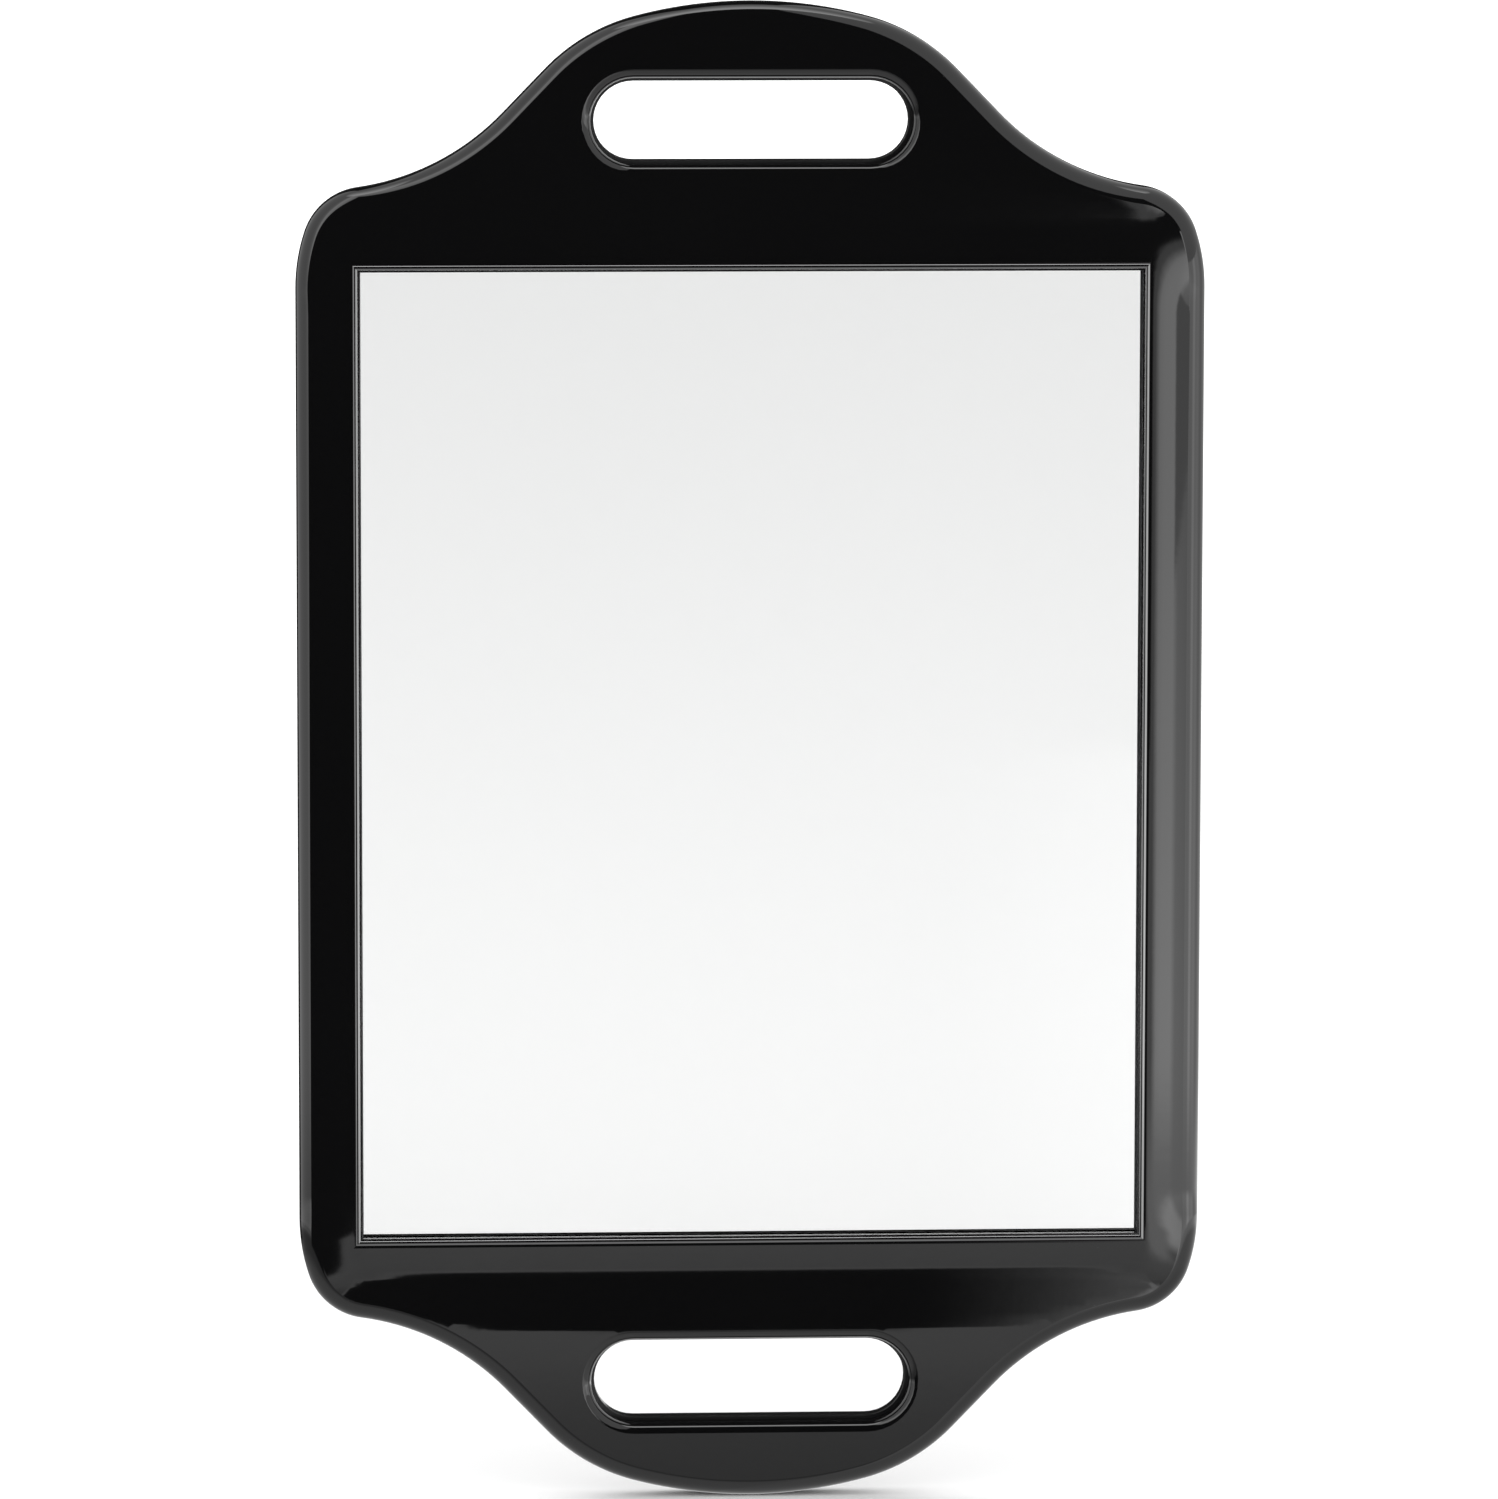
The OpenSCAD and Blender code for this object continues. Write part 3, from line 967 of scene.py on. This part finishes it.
def glass_material():
    """Clear float glass with a very faint green, slightly uneven."""
    made, g, shader = material("glass_pane")
    veil = g.noise(14.0, 2.0)
    g.put(shader.inputs["Base Color"], g.mix(veil, (0.992, 0.996, 0.994, 1.0), (0.988, 0.993, 0.990, 1.0)))
    shader.inputs["Transmission Weight"].default_value = 1.0
    shader.inputs["Roughness"].default_value = 0.0
    shader.inputs["IOR"].default_value = 1.5
    return made


def silver_material():
    made, g, shader = material("silver_back")
    drift = g.noise(9.0, 2.0)
    g.put(shader.inputs["Base Color"], g.mix(drift, (0.862, 0.858, 0.860, 1.0), (0.852, 0.849, 0.851, 1.0)))
    shader.inputs["Metallic"].default_value = 1.0
    shader.inputs["Roughness"].default_value = 0.0
    return made


def film_material():
    """Grey-blue polyester film, slightly wrinkled where it was rolled on."""
    made, g, shader = material("safety_backing")
    streaks = g.noise(30.0, 4.0, 0.6, g.coords((1.0, 1.0, 0.15)))
    g.put(shader.inputs["Base Color"], g.mix(streaks, (0.17, 0.21, 0.27, 1.0), (0.24, 0.28, 0.34, 1.0)))
    g.put(shader.inputs["Roughness"], g.span(streaks, 0.3, 0.7, 0.28, 0.42))
    g.put(shader.inputs["Normal"], g.bump(g.noise(55.0, 3.0), 3e-5))
    return made


def foam_material(name, low, high):
    """Closed-cell foam: small cells that show as pits."""
    made, g, shader = material(name)
    pits = g.cells(1400.0)
    worn = g.noise(60.0, 4.0, 0.6)
    tone = g.math("MULTIPLY_ADD", pits, 0.5, g.math("MULTIPLY", worn, 0.5))
    g.put(shader.inputs["Base Color"], g.mix(tone, low + (1.0,), high + (1.0,)))
    g.put(shader.inputs["Roughness"], g.span(pits, 0.0, 0.6, 0.95, 0.8))
    g.put(shader.inputs["Normal"], g.bump(g.math("ADD", pits, worn), 1.2e-4))
    return made


def steel_material():
    """Zinc-plated steel: turned marks round the head, and plating that varies in colour and gloss."""
    made, g, shader = material("zinc_steel")
    plating = g.noise(420.0, 4.0, 0.6)
    marks = g.noise(2600.0, 2.0, 0.5, g.coords((1.0, 0.1, 1.0)))
    g.put(shader.inputs["Base Color"], g.mix(plating, (0.50, 0.50, 0.49, 1.0), (0.68, 0.68, 0.66, 1.0)))
    shader.inputs["Metallic"].default_value = 1.0
    dull = g.span(plating, 0.3, 0.7, 0.2, 0.34)
    g.put(shader.inputs["Roughness"], g.math("MULTIPLY_ADD", marks, 0.16, dull))
    g.put(shader.inputs["Normal"], g.bump(marks, 1e-5))
    return made


# ---------------------------------------------------------------- pieces
GLOSSY = plastic("glossy_black_abs", (0.0032, 0.0032, 0.0034), 0.03, 0.0, 0.0, 1.5e-6)
BEAD = plastic("polished_bead", (0.0032, 0.0032, 0.0034), 0.05, 0.0, 0.0, 0.0, 2.2)
SATIN = plastic("satin_black_abs", (0.0060, 0.0060, 0.0063), 0.19, 6e-6, 1500.0, 3e-6)
GRAINED = plastic("grained_black_abs", (0.0085, 0.0085, 0.0088), 0.36, 4e-5, 900.0, 3e-6)
INNER = plastic("moulded_inner_abs", (0.0065, 0.0065, 0.0068), 0.30, 1e-5, 1200.0, 3e-6)

front = make_front([GLOSSY, INNER, BEAD])
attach(front, "root")
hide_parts("front_frame")

rear = make_rear([SATIN, GRAINED, INNER])
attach(rear, "root")
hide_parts("rear_cover")

GLASS_BEVEL = 0.25 * MM
COAT_GAP = 0.01 * MM
glass = slab("glass_plate", GLASS_LO, GLASS_HI - Vector((0, COAT_GAP, 0)), GLASS_BEVEL, glass_material())
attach(glass, "root")
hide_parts("mirror_glass")

coat_inset = Vector((GLASS_BEVEL, 0, GLASS_BEVEL))
silver = slab("silver_layer", SILVER_LO + coat_inset, SILVER_HI - coat_inset, 0.02 * MM, silver_material())
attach(silver, "root")
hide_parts("silver_coating")

KEPT = {
    "safety_film": film_material(),
    "seal": foam_material("seal_foam", (0.020, 0.020, 0.022), (0.045, 0.045, 0.048)),
    "backing": foam_material("backing_foam", (0.10, 0.10, 0.105), (0.18, 0.18, 0.185)),
    "screws": steel_material(),
}
for name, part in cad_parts.items():
    for key, kept in KEPT.items():
        if key in name:
            part.data.materials.clear()
            part.data.materials.append(kept)


# ---------------------------------------------------------------- stage
def make_floor():
    mesh = bpy.data.meshes.new("floor")
    half = FLOOR_HALF
    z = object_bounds()[0].z
    corners = [(-half, -half, z), (half, -half, z), (half, half, z), (-half, half, z)]
    mesh.from_pydata(corners, [], [(0, 1, 2, 3)])
    made, g, shader = material("floor_paper")
    clouds = g.noise(0.6, 3.0)
    g.put(shader.inputs["Base Color"], g.mix(clouds, (0.955, 0.955, 0.955, 1.0), (0.965, 0.965, 0.965, 1.0)))
    shader.inputs["Roughness"].default_value = 0.9
    shader.inputs["Specular IOR Level"].default_value = 0.0
    mesh.materials.append(made)
    floor = bpy.data.objects.new("floor", mesh)
    bpy.context.collection.objects.link(floor)
    floor.visible_glossy = False


def softbox(name, place, aim, size, power):
    """A diffuse-only area light: the plastic's reflections come from the studio map alone."""
    data = bpy.data.lights.new(name, "AREA")
    data.shape = "SQUARE"
    data.size = size
    data.energy = power
    light = bpy.data.objects.new(name, data)
    bpy.context.collection.objects.link(light)
    light.location = place
    light.rotation_euler = (Vector(aim) - Vector(place)).to_track_quat("-Z", "Y").to_euler()
    light.visible_camera = False
    light.visible_glossy = False
    light.visible_transmission = False


# A colour ramp's levels go up to 1, so brightness is divided by this and multiplied back
RAMP_FULL = 5.0
# Brightness of the studio round the object, by compass direction in degrees: 0 is the side it faces
ROUND_THE_STUDIO = [
    (-180, 0.9), (-120, 1.2), (-60, 1.35), (-46, 1.8), (-39, 3.4), (5, 0.9), (7.9, 0.9), (8.5, 3.2),
    (12.8, 3.3), (13.3, 2.2), (17, 1.9), (19, 2.6), (22, 2.2), (40, 2.3), (47, 3.3), (55, 3.3), (62, 2.4),
    (80, 2.3), (100, 1.2), (140, 0.9), (180, 0.9),
]
# The same low down, by degrees under LOW_TOP: ahead of the object, and on its right
LOW_TOP = -10.5
LOW_DROP = 20.0
LOW_AHEAD = [
    (0.0, 1.15), (0.5, 1.12), (0.9, 0.74), (1.8, 0.5), (3.0, 0.4), (8.0, 0.42), (14.0, 0.8), (20.0, 0.9),
]
LOW_RIGHT = [(0.0, 2.3), (1.0, 2.2), (3.0, 1.3), (20.0, 1.0)]
# The light overhead, by how far behind the object it is
OVERHEAD = [(0.0, 5.0), (0.25, 5.0), (0.45, 3.0), (0.7, 1.6), (1.0, 0.7)]
DARK_SIDE = 0.02
PALE = 1.0
BACKDROP = 1.05

# The studio's zones, in degrees of compass or elevation. A pair is where a change begins and where it
# is complete, apart from the slant and the lean, which are (slope, offset).
BAND_STARTS = (12.8, 13.4)
BAND_SLANT = (6.0, 35.4)
BAND_ENDS = (15.4, 16.4)
BAND_LEVEL = 1.25
LOWER_HALF = (-6.0, -9.0)
LOWER_GAIN = 1.3
LOW_STARTS = (-9.2, -10.2)
LOW_RIGHT_STARTS = (5.9, 6.6)
GROUND_STARTS = (-10.45, -10.75)
GROUND_AHEAD = (-5.2, -3.6)
GROUND_ALL_ROUND = (-13.5, -15.5)
GLOW_STARTS = (-7.3, -7.55)
GLOW_SIDE = (4.2, 6.0)
CEILING_IN_MIRROR = (22.0, 34.0)
CEILING_LEVEL = 0.12
# The rest are parts of the direction's length, and slopes: up, behind the object, to its right and left
OVERHEAD_STARTS = (0.925, 0.945)
OVERHEAD_DEPTH = (-0.4, 0.4)
RIGHT_EDGE = 0.109
RIGHT_SOFT = 0.004
CORNER_SLOPE = 2.2
CORNER_DROP = 0.07
UPPER_LEAN = (-0.2, 0.30)
LEFT_SLOPE = 0.55
LEFT_STARTS = (0.60, 0.64)


def make_world():
    """The studio: one map for what the plastic reflects, one for the mirror, and a plain backdrop."""
    world = bpy.data.worlds.new("studio")
    bpy.context.scene.world = world
    world.use_nodes = True
    world.cycles.sampling_method = "NONE"
    g = Graph(world.node_tree)
    background = world.node_tree.nodes["Background"]
    place = g.node("ShaderNodeTexCoord")
    parts = g.node("ShaderNodeSeparateXYZ")
    g.links.new(place.outputs["Generated"], parts.inputs[0])
    x, y, z = parts.outputs
    compass = g.math("DEGREES", g.math("ARCTAN2", x, g.math("MULTIPLY", y, -1.0)))
    height = g.math("DEGREES", g.math("ARCSINE", z))
    share = g.span(compass, -180.0, 180.0, 0.0, 1.0, False)
    level = g.scaled_ramp(share, [((a + 180) / 360, v) for a, v in ROUND_THE_STUDIO])
    band_end = g.math("SUBTRACT", compass, g.math("MULTIPLY_ADD", height, *BAND_SLANT))
    band = g.math("MULTIPLY", g.span(compass, *BAND_STARTS), g.span(band_end, *BAND_ENDS, 1.0, 0.0))
    level = g.blend(band, level, BAND_LEVEL)
    level = g.math("MULTIPLY", level, g.span(height, *LOWER_HALF, 1.0, LOWER_GAIN, False))
    overhead = g.span(z, *OVERHEAD_STARTS)
    back = g.span(y, *OVERHEAD_DEPTH, 0.0, 1.0, False)
    level = g.blend(overhead, level, g.scaled_ramp(back, OVERHEAD))
    drop = g.span(height, LOW_TOP, LOW_TOP - LOW_DROP, 0.0, 1.0, False)
    ahead = g.scaled_ramp(drop, [(d / LOW_DROP, v) for d, v in LOW_AHEAD])
    aside = g.scaled_ramp(drop, [(d / LOW_DROP, v) for d, v in LOW_RIGHT])
    low_level = g.blend(g.span(compass, *LOW_RIGHT_STARTS), ahead, aside)
    level = g.blend(g.span(height, *LOW_STARTS), level, low_level)
    ahead_or_low = g.math("MAXIMUM", g.span(compass, *GROUND_AHEAD), g.span(height, *GROUND_ALL_ROUND))
    ground = g.math("MULTIPLY", g.span(height, *GROUND_STARTS), ahead_or_low)
    corner_at = RIGHT_EDGE + CORNER_SLOPE * CORNER_DROP
    corner = g.math("MAXIMUM", g.math("MULTIPLY_ADD", z, CORNER_SLOPE, corner_at), RIGHT_EDGE)
    edge = g.math("MINIMUM", corner, g.math("MULTIPLY_ADD", z, *UPPER_LEAN))
    right = g.span(g.math("SUBTRACT", x, edge), -RIGHT_SOFT, RIGHT_SOFT)
    left = g.span(g.math("SUBTRACT", g.math("MULTIPLY", z, LEFT_SLOPE), x), *LEFT_STARTS)
    glow = g.math("MULTIPLY", g.span(compass, *GLOW_SIDE), g.span(height, *GLOW_STARTS))
    lit = g.math("MAXIMUM", g.math("MAXIMUM", ground, right), g.math("MAXIMUM", left, overhead))
    lit = g.math("MAXIMUM", lit, glow)
    seen_in_plastic = g.blend(lit, DARK_SIDE, level)
    seen_in_mirror = g.blend(g.span(height, *CEILING_IN_MIRROR), PALE, CEILING_LEVEL)
    path = g.node("ShaderNodeLightPath")
    strength = g.blend(path.outputs["Is Glossy Ray"], PALE, seen_in_plastic)
    strength = g.blend(path.outputs["Is Transmission Ray"], strength, seen_in_mirror)
    strength = g.blend(path.outputs["Is Camera Ray"], strength, BACKDROP)
    g.put(background.inputs["Strength"], strength)
    background.inputs["Color"].default_value = (1.0, 1.0, 1.0, 1.0)


FLOOR_HALF = 14.0
make_floor()
make_world()
softbox("back_softbox", (0.0, 5.0, 3.2), (0.0, 4.0, 0.0), 6.0, 190.0)
softbox("top_softbox", (0.0, -0.2, 1.8), (0.0, -0.3, 0.0), 1.6, 3.0)

# ---------------------------------------------------------------- camera
CAMERA_AZ = math.radians(-3.18)
CAMERA_EL = math.radians(7.43)
CAMERA_AWAY = 2.5
SENSOR = 36.0
LENS = 229.2
CAMERA_ROLL = math.radians(0.09)
AIM_X = -0.32 * MM
AIM_ABOVE_MIDDLE = 1.2 * MM
target = Vector((AIM_X, 0.0, MID_Z + AIM_ABOVE_MIDDLE))
direction = Vector((
    math.sin(CAMERA_AZ) * math.cos(CAMERA_EL),
    -math.cos(CAMERA_AZ) * math.cos(CAMERA_EL),
    math.sin(CAMERA_EL),
))
camera_data = bpy.data.cameras.new("camera")
camera_data.sensor_width = SENSOR
camera_data.lens = LENS
camera_data.clip_start = 0.05
camera_data.clip_end = 60.0
camera = bpy.data.objects.new("camera", camera_data)
bpy.context.collection.objects.link(camera)
camera.location = target + direction * CAMERA_AWAY
level_view = (-direction).to_track_quat("-Z", "Y")
camera.rotation_euler = (level_view @ Quaternion((0.0, 0.0, 1.0), CAMERA_ROLL)).to_euler()
scene = bpy.context.scene
scene.camera = camera
scene.view_settings.view_transform = "Standard"
scene.view_settings.look = "None"
